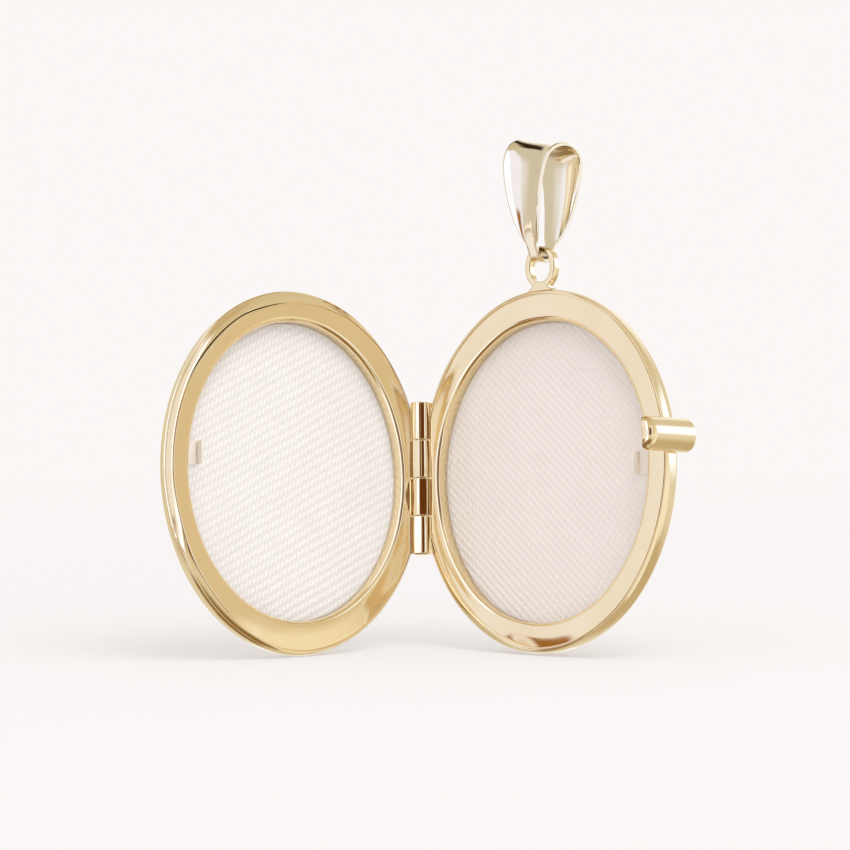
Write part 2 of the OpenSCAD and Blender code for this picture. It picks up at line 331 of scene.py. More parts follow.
def frame_angles(leaf):
    """Even angles, finer at the hinge, with a close pair at each corner of the outline."""
    t = np.linspace(0, 2 * np.pi, 720, endpoint=False)
    extra = []
    fine = np.linspace(math.radians(140), math.radians(220), 8001)
    lim = outer_limits(leaf, fine)
    which = np.argmin(lim, 0)
    for i in np.nonzero(np.diff(which))[0]:
        extra += [fine[i] - 2e-4, fine[i + 1] + 2e-4]
    fine_t = np.linspace(math.radians(165), math.radians(200), 240)
    return np.unique(np.concatenate([t, extra, fine_t]))


def outer_limits(leaf, t):
    """What bounds the frame outwards: the seam, the hinge's seat, the notch."""
    lim = [seam_radius(leaf, t) - smooth_table(t, leaf["gap"]),
           np.where(np.cos(t) < -0.2, SEAT_X / np.minimum(np.cos(t), -0.2), 99.0)]
    if leaf["notch"]:
        lim.append(notch_limit(t))
    return np.array(lim)


def build_frame(side):
    leaf = LEAVES[side]
    t = frame_angles(leaf)
    out = outer_limits(leaf, t).min(0)
    d = leaf["window"](t)
    win = np.minimum(WINDOW_R + d, out - WINDOW_MIN)
    rec = RECESS_R + d
    if side == "back":                          # hand-polished facet, low front
        tilt = smooth_table(t, clock((150, 0), (172, .8), (190, 1), (205, .35),
                                     (214, 0), (359, 0), mirrored=False))
    else:                                       # lower rim polished a little away
        tilt = smooth_table(t, clock((118, 0), (140, .8), (175, 1.0), (200, .7),
                                     (216, 0), (359, 0), mirrored=True))
    under = np.minimum(out + FLANGE_OUT, outer_limits(leaf, t)[1:].min(0))
    rows = [(under, LIP_REAR + 0 * t), (under, FLANGE_TOP + 0 * t),
            (out, FLANGE_TOP + 0 * t)]
    for k in range(1, 5):
        a = math.pi / 2 * k / 4
        rows.append((out - FRAME_ROUND * (1 - math.cos(a)),
                     FRAME_FACE + FRAME_ROUND * (1 - math.sin(a)) + FACET_DEPTH * tilt))
    inner_flat = win + 0.02
    facet = 0.62 if side == "back" else 1.0     # share of the width that it takes
    for k in range(1, 15):
        f = k / 14
        r = (out - FRAME_ROUND) * (1 - f) + inner_flat * f
        x = np.clip(1 - f / facet, 0, None)
        rows.append((r, FRAME_FACE + FACET_DEPTH * tilt * x * (0.72 + 0.28 * x)
                     + FRAME_WAVE * np.sin(3 * t + 4 * f) * math.sin(math.pi * f)))
    for k in range(11, -1, -1):                 # rounded inner edge
        a = math.pi / 2 * k / 11
        rows.append((win - (win - rec) * math.cos(a),
                     FRAME_FACE + WINDOW_ROUND * (1 - math.sin(a))))
    rows += [(rec, RECESS_DEPTH + 0 * t), (rec, LEDGE_TOP + 0 * t),
             (RECESS_R - LEDGE_IN + 0 * t, LEDGE_TOP + 0 * t),
             (RECESS_R - LEDGE_IN + 0 * t, LEDGE_REAR + 0 * t),
             (RECESS_R + RECESS_WALL + 0 * t, LEDGE_REAR + 0 * t),
             (RECESS_R + RECESS_WALL + 0 * t, LIP_REAR + 0 * t)]
    pts = np.stack([on_leaf(r, t, dd) for r, dd in rows], 1)
    faces = grid_faces(len(t), len(rows), wrap_u=True, wrap_v=True)
    return make(f"frame_{side}", pts.reshape(-1, 3), faces, leaf["place"], sharp=38)


LENS_FRONT, LENS_REAR, LENS_ROUND = 0.6, 0.95, 0.04
TAB_X, TAB_WALL, TAB_HALF = 7.33, 0.08, 0.8     # finger notch in the lens
FILM_OUT, FILM_FRONT, FILM_REAR, FILM_SPARE = 8.2, 0.90, 0.945, 0.04


def build_lens(side):
    """Thin clear disc with a finger notch cut into its catch side."""
    leaf = LEAVES[side]
    fine = np.linspace(-0.16, 0.22, 200)
    t = np.unique(np.concatenate([np.linspace(0, 2 * np.pi, 360, endpoint=False),
                                  np.mod(fine, 2 * np.pi)]))
    r = RECESS_R + leaf["window"](t) - 0.012
    z = OVAL * r * np.sin(t)
    in_notch = (np.abs(z - leaf["tab"]) < TAB_HALF) & (np.cos(t) > 0)
    r = np.where(in_notch, (TAB_X + TAB_WALL) / np.cos(t), r)
    b = LENS_ROUND
    rows = [(0 * t, LENS_FRONT), (r - 1.0, LENS_FRONT), (r - b, LENS_FRONT),
            (r, LENS_FRONT + b), (r, LENS_REAR - b),
            (r - b, LENS_REAR), (r - 1.0, LENS_REAR), (0 * t, LENS_REAR)]
    pts = np.stack([on_leaf(q, t, d) for q, d in rows], 1)
    faces = grid_faces(len(t), len(rows), wrap_u=True)
    return make(f"lens_{side}", pts.reshape(-1, 3), faces, leaf["place"], sharp=25)


def build_tab(side):
    """Frosted sawn wall and pale film of the lens's finger notch."""
    leaf = LEAVES[side]
    mid = leaf["tab"]
    rear, high = HALF_GAP + FILM_REAR, TAB_HALF + FILM_SPARE
    wall, wall_f = rounded_box((TAB_X, HALF_GAP + 0.06, mid - TAB_HALF),
                               (TAB_X + TAB_WALL, rear, mid + TAB_HALF), 0.02)
    film, film_f = rounded_box((TAB_X + 0.075, HALF_GAP + FILM_FRONT, mid - high),
                               (FILM_OUT, rear, mid + high), 0.012, len(wall))
    return make(f"tab_{side}", wall + film, wall_f + film_f, leaf["place"], sharp=30)


def rounded_box(lo, hi, b, start=0):
    """A box with edges rounded in three steps, as points and faces."""
    bm = bmesh.new()
    bmesh.ops.create_cube(bm, size=1)
    for v in bm.verts:
        v.co = Vector([lo[i] + (hi[i] - lo[i]) * (v.co[i] + 0.5) for i in range(3)])
    bmesh.ops.bevel(bm, geom=bm.edges[:], offset=b, segments=3, profile=0.5,
                    affect="EDGES")
    bm.verts.index_update()
    verts = [tuple(v.co) for v in bm.verts]
    faces = [tuple(start + v.index for v in f.verts) for f in bm.faces]
    bm.free()
    return verts, faces


# Woven inserts: threads run nearly up and down, one every THREAD mm, and each
# thread floats over one pick and dips under the next. The step between the
# floats of neighbouring threads gives plain weave or a twill.
THREAD, PERIOD = 0.289, 0.695
WEAVE_FRONT, WEAVE_RELIEF, WEAVE_REAR = 0.955, 0.055, 1.06


def weave_height(x, z, lean, step, skew):
    """Height of the cloth, and a mask for the painted highlight on the crests of its
    floats, both from 0 to 1.
    """
    u = (x + lean * z) / THREAD
    n = np.floor(u)
    f = u - n - 0.5
    wander = 0.05 * np.sin(n * 12.9898 + 1.7) + 0.03 * np.sin(n * 78.233)
    p = z / PERIOD + n * step + wander + skew * f
    p = p - np.floor(p)
    body = np.sqrt(np.clip(1 - (2 * f / 1.04) ** 2, 0, 1))
    rise = np.clip(np.sin(np.pi * np.clip(p / 0.72, 0, 1)), 0, 1) ** 0.6
    weft = 0.30 + 0.22 * np.cos(2 * np.pi * z / (PERIOD / 2))
    across = (f + 0.35 * (p - 0.35)) / 0.30       # floats lie a little aslant
    # Mask of the painted highlight: a narrow, slightly aslant dash along each float's
    # crest.
    crest_highlight = np.clip((np.clip(1 - across ** 2, 0, 1) * rise - 0.2) / 0.4, 0, 1)
    return np.maximum(body * rise, weft * (0.8 + 0.2 * (1 - body)) * 0.8), crest_highlight


def build_weave(side, lean, step, skew):
    leaf = LEAVES[side]
    nz, nx = 330, 500
    turn = math.pi / 2 * 0.93                    # rows crowd towards top and bottom
    v = np.sin(np.linspace(-1, 1, nz) * turn) / math.sin(turn) * 0.9995
    u = np.linspace(-1, 1, nx)
    uu, vv = np.meshgrid(u, v)                   # nz x nx
    x0 = uu * np.sqrt(1 - vv ** 2)
    ang = np.arctan2(vv, x0)
    r = RECESS_R - 0.01 + leaf["window"](ang)
    x, z = x0 * r, vv * r * OVAL
    h, crest_highlight = weave_height(x, z, lean, step, skew)
    rim = np.clip((1 - np.hypot(x0, vv)) / 0.012, 0, 1)
    y = HALF_GAP + WEAVE_FRONT + WEAVE_RELIEF * (1 - h * rim)
    top = np.stack([x, y, z], -1).reshape(-1, 3)
    faces = [tuple(f) for f in grid_faces(nz, nx)]
    ring = ([(0, j) for j in range(nx)] + [(i, nx - 1) for i in range(1, nz)]
            + [(nz - 1, j) for j in range(nx - 2, -1, -1)]
            + [(i, 0) for i in range(nz - 2, 0, -1)])
    ids = [i * nx + j for i, j in ring]
    base = len(top)
    low = top[ids].copy()
    low[:, 1] = HALF_GAP + WEAVE_REAR
    verts = np.concatenate([top, low, [[0, HALF_GAP + WEAVE_REAR, 0]]])
    m = len(ids)
    for k in range(m):
        k2 = (k + 1) % m
        faces.append((ids[k], ids[k2], base + k2, base + k))
        faces.append((base + k, base + k2, base + m))
    me = bpy.data.meshes.new(f"weave_{side}")
    me.from_pydata([tuple(p) for p in leaf["place"](verts) * MM], [], faces)
    # The painted highlight mask goes to the cloth material as a point attribute.
    att = me.attributes.new("crest_highlight", "FLOAT", "POINT")
    att.data.foreach_set("value", np.concatenate(
        [(crest_highlight * rim).ravel(), np.zeros(m + 1)]).astype(np.float32))
    bm = bmesh.new()
    bm.from_mesh(me)
    bmesh.ops.remove_doubles(bm, verts=bm.verts, dist=2e-7)
    bmesh.ops.recalc_face_normals(bm, faces=bm.faces)
    return settle(f"weave_{side}", me, bm, sharp=60)


# ---------------------------------------------------------------- the hinge
BARREL_R, KNUCKLE, PITCH, BARREL_TOP, PIN_R = 0.70, 2.55, 2.65, 5.40, 0.33
TUBE_GAP = 0.1
TUBE_EXTRA = 0.03                     # longer than in the CAD at each end
FOOT_LOW, FOOT_HIGH, FOOT_X = 0.12, 0.58, 0.75
# Hand-finishing left each tube slightly flatter on one side: azimuth, half width
FACETS = ((44, 10), (8, 16), (47, 21), (14, 20))


def build_knuckle(index, name, place, bore):
    """Hinge tube with the foot that joins it to its plate."""
    z1 = BARREL_TOP - index * PITCH + TUBE_EXTRA
    z0 = z1 - KNUCKLE - 2 * TUBE_EXTRA
    a0, a1 = math.atan2(FOOT_LOW, FOOT_X), math.atan2(FOOT_HIGH, FOOT_X)
    t = np.unique(np.concatenate([
        np.linspace(0, 2 * np.pi, 200, endpoint=False),
        [a0, a1, math.asin(FOOT_HIGH / BARREL_R), math.asin(FOOT_LOW / BARREL_R)]]))
    c, s = np.cos(t), np.sin(t)
    foot = np.zeros_like(t)
    side = (t >= a0 - 1e-9) & (t <= a1 + 1e-9)
    foot[side] = FOOT_X / c[side]
    upper = (t > a1) & (t < 1.2)
    foot[upper] = FOOT_HIGH / s[upper]
    facing, half = (math.radians(v) for v in FACETS[index])
    middle = -OPEN_TURN - facing if place is place_front else facing - math.pi / 2
    away = np.abs((t - middle + math.pi) % (2 * math.pi) - math.pi)
    flat = np.where(away < half, math.cos(half) / np.cos(np.minimum(away, 1.0)), 1.0)
    outline = np.maximum(BARREL_R * flat, foot)
    rnd = 0.06
    stations = ([(z0 + rnd * (1 - math.cos(a)), rnd * (1 - math.sin(a)))
                 for a in np.linspace(0, math.pi / 2, 6)]
                + [(z0 + KNUCKLE * f, 0) for f in (0.25, 0.5, 0.75)]
                + [(z1 - rnd * (1 - math.cos(a)), rnd * (1 - math.sin(a)))
                   for a in np.linspace(math.pi / 2, 0, 6)])
    rows = [(0 * t + bore, z0 + 0.02)]
    for z, take in stations:
        q = (z - z0) / KNUCKLE
        swell = 0.018 * math.sin(math.pi * q) + 0.006 * np.sin(2 * t + index)
        rows.append((outline - take + swell * (foot < 0.1), z))
    rows.append((0 * t + bore, z1 - 0.02))
    pts = np.stack([np.stack([HINGE_X + r * c, r * s, 0 * t + z], -1)
                    for r, z in rows], 1)
    faces = grid_faces(len(t), len(rows), wrap_u=True, wrap_v=True)
    return make(name, pts.reshape(-1, 3), faces, place, sharp=40)


def build_pin():
    """Hinge pin with a low domed head at each end."""
    z1 = BARREL_TOP
    z0 = BARREL_TOP - 4 * PITCH + TUBE_GAP - 0.05
    dome = 0.055
    prof = [(0.0, z0 - dome)]                   # each: (radius, height)
    prof += [(0.5 * math.sin(a), z0 - dome * math.cos(a))
             for a in np.linspace(0.15, math.pi / 2, 8)]
    prof += [(0.47, z0 + 0.02), (PIN_R, z0 + 0.03), (PIN_R, z1 - 0.03), (0.49, z1 - 0.02)]
    prof += [(0.52 * math.sin(a), z1 + dome * math.cos(a))
             for a in np.linspace(math.pi / 2, 0.12, 9)]
    prof += [(0.0, z1 + dome)]
    t = np.linspace(0, 2 * np.pi, 64, endpoint=False)
    pts = np.stack([np.stack([HINGE_X + r * np.cos(t), r * np.sin(t), 0 * t + z], -1)
                    for r, z in prof], 1)
    return make("pin_hinge", pts.reshape(-1, 3),
                grid_faces(64, len(prof), wrap_u=True), place_back, sharp=40)


def build_notch_cup():
    """Polished inside of the clearance notch in the cover's frame."""
    ang = np.linspace(-1, 1, 41)
    half = math.asin(math.sqrt(1 - ((SEAT_X - NOTCH_C) / NOTCH_A) ** 2))
    rows = []                                   # each (grow, d): outset and depth
    for grow, d in ((0.0, 0.05), (-0.03, 0.14), (-0.25, 0.17), (-1.1, 0.17),
                    (-1.1, 0.42), (0.04, 0.42), (0.045, 0.05)):
        a = ang * half
        ra, rb = NOTCH_A + max(grow, -0.7), NOTCH_B + grow * (1 if grow > -1 else 0.9)
        rows.append(np.stack([np.maximum(NOTCH_C + ra * np.cos(a), SEAT_X - 0.2),
                              HALF_GAP + d + 0 * a, NOTCH_MID + rb * np.sin(a)], -1))
    pts = np.stack(rows, 1)
    n, m = pts.shape[:2]
    faces = grid_faces(n, m, wrap_v=True)
    faces += [tuple(range(m)), tuple((n - 1) * m + j for j in range(m - 1, -1, -1))]
    return make("notch_cup", pts.reshape(-1, 3), faces, place_front, sharp=40)


# ---------------------------------------------------------------- the catch
CATCH_Z, CATCH_IN, CATCH_OUT, CATCH_REAR, CATCH_FRONT = 1.6, 10.15, 11.2, 2.2, 3.5
CATCH_DIP = math.radians(4)
PAD_LOW, PAD_HIGH, PAD_HALF = (9.86, 0.12), (10.3, 1.62), 0.85


def build_catch():
    """Half-round bar with a full domed tip, dipping a little to the front."""
    r_rear, r_front = 1.2, 1.15
    length = CATCH_REAR + CATCH_FRONT
    dome, rear = 0.75, 0.12                     # length of the tip and the rear edge
    # stations along the bar: (y, share of the full section)
    st = [(-CATCH_FRONT + dome * (1 - math.cos(a)), max(0.02, math.sin(a)) ** 0.62)
          for a in np.linspace(0.0, math.pi / 2, 26)]
    st += [(y, 1.0) for y in np.linspace(-CATCH_FRONT + dome + 0.3,
                                         CATCH_REAR - rear - 0.2, 10)]
    st += [(CATCH_REAR - rear * (1 - math.sin(a)), max(0.05, math.cos(a)) ** 0.35)
           for a in np.linspace(0.0, math.pi / 2, 12)]
    n, flat = 96, 20                            # points round, and on the flat side
    out = CATCH_OUT - CATCH_IN
    a = np.linspace(-math.pi / 2, math.pi / 2, n - flat)
    rings = []
    for y, k in st:
        f = (y + CATCH_FRONT) / length
        r = r_front + (r_rear - r_front) * f
        px = np.concatenate([np.abs(np.cos(a)) ** 0.86 * out, np.zeros(flat)])
        pz = np.concatenate([np.sin(a) * r, np.linspace(r * 0.93, -r * 0.93, flat)])
        cx = out * 0.36
        px = cx + (px - cx) * k
        pz = pz * k
        rings.append(np.stack([CATCH_IN + px,
                               y * math.cos(CATCH_DIP) - pz * math.sin(CATCH_DIP),
                               CATCH_Z + pz * math.cos(CATCH_DIP)
                               + y * math.sin(CATCH_DIP)], -1))
    pts = np.stack(rings, 1)
    m = len(st)
    faces = grid_faces(n, m, wrap_u=True)
    verts = list(map(tuple, pts.reshape(-1, 3)))
    for j in (0, m - 1):
        verts.append(tuple(pts[:, j].mean(0)))
        k = len(verts) - 1
        faces += [(i * m + j, ((i + 1) % n) * m + j, k) for i in range(n)]
    pad, pad_f = rounded_box((*PAD_LOW, CATCH_Z - PAD_HALF),
                             (*PAD_HIGH, CATCH_Z + PAD_HALF), 0.08, len(verts))
    return make("bar_catch", verts + pad, faces + pad_f, place_back, sharp=50)


# ----------------------------------------------------------- loop and bail
LOOP_RI, LOOP_RO, LOOP_SIDE, LOOP_T = 0.81, 1.20, 0.23, 0.75


def build_loop():
    """Long soldered loop whose foot flows out into the rim."""
    t = np.linspace(0, 2 * np.pi, 240, endpoint=False)
    lift = LOOP_SIDE * np.clip(1.5 * np.sin(t), -1, 1)
    ring = np.stack([np.cos(t), np.sin(t)], -1)
    inner = ring * LOOP_RI
    inner[:, 1] += lift
    outer = ring * LOOP_RO
    outer[:, 1] += lift
    off = (t + math.pi / 2 + math.pi) % (2 * math.pi) - math.pi   # from the bottom
    start = math.radians(38)                    # where the foot leaves the ring
    low = np.abs(off) < start
    f = 1 - np.abs(off[low]) / start
    stops = [0, .3, .5, .66, .8, 1]             # foot's outline, ring to middle
    x0, z0 = LOOP_RO * math.sin(start), -LOOP_RO * math.cos(start) - LOOP_SIDE
    outer[low, 0] = np.sign(off[low]) * np.interp(f, stops, [x0, .66, .68, .84, 1.05, 0])
    outer[low, 1] = np.interp(f, stops, [z0, -1.33, -1.48, -1.60, -1.70, -1.74])
    toward_eye = outer - inner
    toward_eye /= np.linalg.norm(toward_eye, axis=1, keepdims=True)
    b = 0.10
    h = LOOP_T / 2
    rows = []
    for sr, sy, a0 in ((1, -1, 0), (1, 1, 1), (-1, 1, 2), (-1, -1, 3)):
        for k in range(6):
            a = (-math.pi / 2 + a0 * math.pi / 2) + math.pi / 2 * k / 5
            edge = outer if sr > 0 else inner
            xz = edge + toward_eye * (b * math.cos(a) - sr * b)
            y = LOOP_Y + sy * (h - b) + b * math.sin(a)
            rows.append(np.stack([xz[:, 0], 0 * t + y, LOOP_Z + xz[:, 1]], -1))
    pts = np.stack(rows, 1)
    return make("loop_bail", pts.reshape(-1, 3),
                grid_faces(len(t), len(rows), wrap_u=True, wrap_v=True), place_back,
                sharp=40)


BAIL_SPAN, BAIL_TOP, BAIL_BEND, BAIL_T, BAIL_SIDE = 5.4, 1.97, 0.87, 0.26, 10.5
HALF_LOW, HALF_GAIN, FLARE = 0.44, 1.64, 0.64   # half width from bend to top
CROWN_CURL, CROWN_SLANT = 0.11, 0.13            # of the top edge, across the width
LIP_OUT, LIP_IN = 0.29, 0.20                    # dish of the outer and inner face


def place_bail(p):
    q = np.array(p, float)
    q[..., 2] -= REACH
    return q @ BAIL_TURN.T


def build_bail():
    """Tapered strip bent into an egg-shaped loop, dished across its width."""
    rt, rb, rs = (r - BAIL_T / 2 for r in (BAIL_TOP, BAIL_BEND, BAIL_SIDE))
    cz = (BAIL_SPAN ** 2 + (rt - rb) * (2 * rs - rb - rt)) / 2 / BAIL_SPAN
    cx = math.sqrt((rs - rb) ** 2 - cz ** 2)
    low, high = -math.atan2(cz, cx), math.atan2(BAIL_SPAN - cz, cx)
    path = []

    def arc(centre, radius, start, stop, steps):
        for e in np.linspace(start, stop, steps):
            path.append((centre[0] + radius * math.cos(e),
                         centre[1] + radius * math.sin(e), math.cos(e), math.sin(e)))

    arc((0, BAIL_SPAN), rt, high, math.pi - high, 90)
    arc((cx, cz), rs, math.pi - high, math.pi - low, 70)
    arc((0, 0), rb, math.pi - low, 2 * math.pi + low, 44)
    arc((-cx, cz), rs, low, high, 70)
    path = np.array(path)
    keep = np.hypot(*(path[:, :2] - np.roll(path[:, :2], 1, 0)).T) > 1e-6
    path = path[keep]
    lo, hi = 0.45, BAIL_SPAN + BAIL_TOP + 0.04  # the plates flare between these
    u = np.clip((path[:, 1] - lo) / (hi - lo), 0, 1)
    half = HALF_LOW + HALF_GAIN * u ** FLARE
    crown = np.clip(path[:, 3], 0, 1) * (path[:, 1] > BAIL_SPAN - 0.5)
    wide = np.sin(np.pi / 2 * np.clip(u * 1.6, 0, 1)) * (1 - crown ** 2)
    over = np.clip((path[:, 1] - BAIL_SPAN) / rt, 0, 1)
    path[:, 1] += 0.36 * over - 0.32 * over ** 2  # squarer than a round top
    b = 0.05
    spread = np.sin(np.linspace(-np.pi / 2, np.pi / 2, 41))
    # columns round the section: (place across the width, angle on a rim, face)
    cols = [(q, 0, 1) for q in spread]
    cols += [(1, a, 0) for a in np.linspace(math.pi / 2, -math.pi / 2, 11)[1:-1]]
    cols += [(-q, 0, -1) for q in spread]
    cols += [(-1, a, 0) for a in np.linspace(-math.pi / 2, -3 * math.pi / 2, 11)[1:-1]]

    def dish(q, lip):
        return (wide * (lip * np.abs(q) ** 3 - 0.3 * lip)
                + CROWN_CURL * (crown * q) ** 2)

    rings = []
    for q, a, side in cols:
        roll_off = max(0.0, (abs(q) - 0.92) / 0.08) ** 2      # softened outer rims
        ht = 0.13 + (0.04 * abs(q) ** 8 - 0.06 * roll_off if side >= 0 else 0)
        if side:
            across = q * (half - b)
            off = dish(q, LIP_OUT if side > 0 else LIP_IN) + side * ht
        else:
            across = q * (half - b + b * abs(math.cos(a)) ** 0.35)
            off = (dish(q, 0.245 + 0.045 * math.sin(a))
                   + math.copysign(ht * abs(math.sin(a)) ** 0.4, math.sin(a)))
        rings.append(np.stack([across + 0 * half, path[:, 0] + path[:, 2] * off,
                               path[:, 1] + path[:, 3] * off
                               - CROWN_SLANT * q * over ** 2], -1))
    pts = np.stack(rings, 1)
    return make("strap_bail", pts.reshape(-1, 3),
                grid_faces(len(path), len(cols), wrap_u=True, wrap_v=True), place_bail,
                sharp=45)


# ---------------------------------------------------------------- materials
def blank_material(name):
    m = bpy.data.materials.new(name)
    m.use_nodes = True
    m.node_tree.nodes.clear()
    return m, m.node_tree


def material(name, colour, rough, metallic=1.0):
    m = bpy.data.materials.new(name)
    m.use_nodes = True
    p = m.node_tree.nodes["Principled BSDF"]
    p.inputs["Base Color"].default_value = (*colour, 1)
    p.inputs["Roughness"].default_value = rough
    p.inputs["Metallic"].default_value = metallic
    return m, m.node_tree, p


def node(nt, kind, **settings):
    n = nt.nodes.new(kind)
    for k, v in settings.items():
        if k.startswith("in_"):
            n.inputs[k[3:].replace("_", " ")].default_value = v
        else:
            setattr(n, k, v)
    return n


def noise(nt, vector, scale, detail=3.0, roughness=0.55):
    n = node(nt, "ShaderNodeTexNoise", in_Scale=scale, in_Detail=detail,
             in_Roughness=roughness)
    nt.links.new(vector, n.inputs["Vector"])
    return n.outputs["Fac"]


def span(nt, value, lo, hi, a=0.0, b=1.0, kind="LINEAR"):
    n = node(nt, "ShaderNodeMapRange", interpolation_type=kind)
    for k, v in (("From Min", lo), ("From Max", hi), ("To Min", a), ("To Max", b)):
        n.inputs[k].default_value = v
    nt.links.new(value, n.inputs["Value"])
    return n.outputs["Result"]


def mix_colour(nt, fac, a, b):
    n = node(nt, "ShaderNodeMix", data_type="RGBA")
    for socket, value in ((n.inputs[6], a), (n.inputs[7], b)):
        if isinstance(value, tuple):
            socket.default_value = (*value, 1)
        else:
            nt.links.new(value, socket)
    nt.links.new(fac, n.inputs[0])
    return n.outputs[2]


def object_place(nt):
    return node(nt, "ShaderNodeTexCoord").outputs["Object"]


def bump(nt, height, strength, distance, under=None):
    n = node(nt, "ShaderNodeBump", in_Strength=strength, in_Distance=distance)
    nt.links.new(height, n.inputs["Height"])
    if under:
        nt.links.new(under, n.inputs["Normal"])
    return n.outputs["Normal"]


def gold(name, pale, deep, rough=(0.035, 0.10), wave=0.0):
    """Polished plated gold: slow colour drift, hairline polishing marks."""
    m, nt, p = material(name, pale, rough[0])
    at = object_place(nt)
    drift = noise(nt, at, 260.0, 3.0)
    nt.links.new(mix_colour(nt, span(nt, drift, 0.35, 0.68), pale, deep),
                 p.inputs["Base Color"])
    smear = noise(nt, at, 900.0, 4.0, 0.6)
    nt.links.new(span(nt, smear, 0.35, 0.75, *rough), p.inputs["Roughness"])
    squash = node(nt, "ShaderNodeMapping", in_Scale=(1.0, 1.0, 14.0))
    nt.links.new(at, squash.inputs["Vector"])
    hair = noise(nt, squash.outputs["Vector"], 2600.0, 2.0, 0.5)
    scratched = bump(nt, hair, 0.06, 0.00001)
    slow = noise(nt, at, 420.0, 1.0, 0.4)
    nt.links.new(bump(nt, slow, wave, 0.0001, scratched), p.inputs["Normal"])
    return m


PALE, DEEP = (0.93, 0.775, 0.495), (0.90, 0.735, 0.45)
GOLD = gold("gold_polished", PALE, DEEP, wave=0.10)
GOLD_FRAME = gold("gold_frame", PALE, DEEP, rough=(0.05, 0.11), wave=0.03)
GOLD_BRIGHT = gold("gold_bright", PALE, DEEP, rough=(0.03, 0.08), wave=0.05)
GOLD_BAIL = gold("gold_bail", (0.97, 0.90, 0.76), (0.94, 0.86, 0.70),
                 rough=(0.07, 0.12), wave=0.04)
GOLD_HINGE = gold("gold_hinge", (0.92, 0.76, 0.48), (0.88, 0.71, 0.42),
                  rough=(0.04, 0.10), wave=0.10)


def lens_material():
    """Thin clear plastic: straight view of the cloth under a faint gloss."""
    m, nt = blank_material("clear_plastic")
    at = object_place(nt)
    clear = node(nt, "ShaderNodeBsdfTransparent")
    haze = noise(nt, at, 500.0, 3.0)
    nt.links.new(mix_colour(nt, span(nt, haze, 0.35, 0.7), (0.998, 0.997, 0.996),
                            (0.992, 0.990, 0.988)), clear.inputs["Color"])
    gloss = node(nt, "ShaderNodeBsdfGlossy")
    nt.links.new(span(nt, haze, 0.4, 0.8, 0.02, 0.07), gloss.inputs["Roughness"])
    edge = node(nt, "ShaderNodeFresnel", in_IOR=1.4)
    path = node(nt, "ShaderNodeLightPath")
    capped = node(nt, "ShaderNodeMath", operation="MINIMUM")
    nt.links.new(edge.outputs[0], capped.inputs[0])
    capped.inputs[1].default_value = 0.05
    share = node(nt, "ShaderNodeMath", operation="MULTIPLY")
    nt.links.new(capped.outputs[0], share.inputs[0])
    nt.links.new(path.outputs["Is Camera Ray"], share.inputs[1])
    mix = node(nt, "ShaderNodeMixShader")
    nt.links.new(share.outputs[0], mix.inputs[0])
    nt.links.new(clear.outputs[0], mix.inputs[1])
    nt.links.new(gloss.outputs[0], mix.inputs[2])
    nt.links.new(mix.outputs[0], node(nt, "ShaderNodeOutputMaterial").inputs["Surface"])
    return m


def frosted_material():
    """Sawn edge of the lens, frosted beige, with a faint painted glow that lightens it."""
    m, nt, p = material("frosted_plastic", (0.92, 0.85, 0.78), 0.6, 0.0)
    at = object_place(nt)
    grain = noise(nt, at, 9000.0, 3.0, 0.6)
    p.inputs["Emission Color"].default_value = (1.0, 0.94, 0.88, 1)
    p.inputs["Emission Strength"].default_value = 0.04    # painted glow that lightens the sawn edge, no lamp
    nt.links.new(mix_colour(nt, span(nt, grain, 0.3, 0.7), (0.94, 0.875, 0.81),
                            (0.88, 0.80, 0.725)), p.inputs["Base Color"])
    nt.links.new(bump(nt, grain, 0.3, 0.00001), p.inputs["Normal"])
    return m


def cloth(name, crest_highlight, valley_shade, sheen):
    """Woven cloth: painted highlight on the floats' crests, which the mesh marks, and
    painted shade in the valleys between threads.
    """
    m, nt, p = material(name, crest_highlight, 0.42, 0.0)
    rise = node(nt, "ShaderNodeAttribute", attribute_name="crest_highlight").outputs["Fac"]
    at = object_place(nt)
    # Painted light: the valley colour is painted shade between threads, the crest colour a
    # painted highlight on the floats.
    painted_light_tone = mix_colour(nt, span(nt, rise, 0.15, 0.85), valley_shade, crest_highlight)
    patch = noise(nt, at, 300.0, 3.0)
    mixed = node(nt, "ShaderNodeMix", data_type="RGBA", blend_type="MULTIPLY")
    mixed.inputs[0].default_value = 1.0
    nt.links.new(painted_light_tone, mixed.inputs[6])
    nt.links.new(mix_colour(nt, span(nt, patch, 0.3, 0.7), (1, 1, 1),
                            (0.985, 0.985, 0.985)), mixed.inputs[7])
    nt.links.new(mixed.outputs[2], p.inputs["Base Color"])
    fibre = node(nt, "ShaderNodeMapping", in_Scale=(1.0, 1.0, 0.12))
    nt.links.new(at, fibre.inputs["Vector"])
    hairs = noise(nt, fibre.outputs["Vector"], 26000.0, 2.0, 0.5)
    nt.links.new(bump(nt, hairs, 0.25, 0.00001), p.inputs["Normal"])
    nt.links.new(span(nt, rise, 0.2, 0.9, 0.6, 0.32), p.inputs["Roughness"])
    p.inputs["Sheen Weight"].default_value = sheen
    p.inputs["Sheen Roughness"].default_value = 0.4
    # Painted glow: the cloth glows faintly in its own colours to lighten the shade under
    # the rim.
    nt.links.new(mixed.outputs[2], p.inputs["Emission Color"])
    p.inputs["Emission Strength"].default_value = 0.04    # painted glow, no lamp: lightens the shade that the rim casts on the cloth
    p.inputs["Specular IOR Level"].default_value = 0.45
    return m


LENS = lens_material()
FROSTED = frosted_material()
# First colour of each cloth is its painted highlight on the floats, second its painted
# shade in the valleys.
WHITE_CLOTH = cloth("cloth_white", (1.0, 0.985, 0.97), (0.86, 0.82, 0.80), 0.12)
CREAM_CLOTH = cloth("cloth_cream", (0.925, 0.845, 0.775), (0.885, 0.80, 0.73), 0.10)


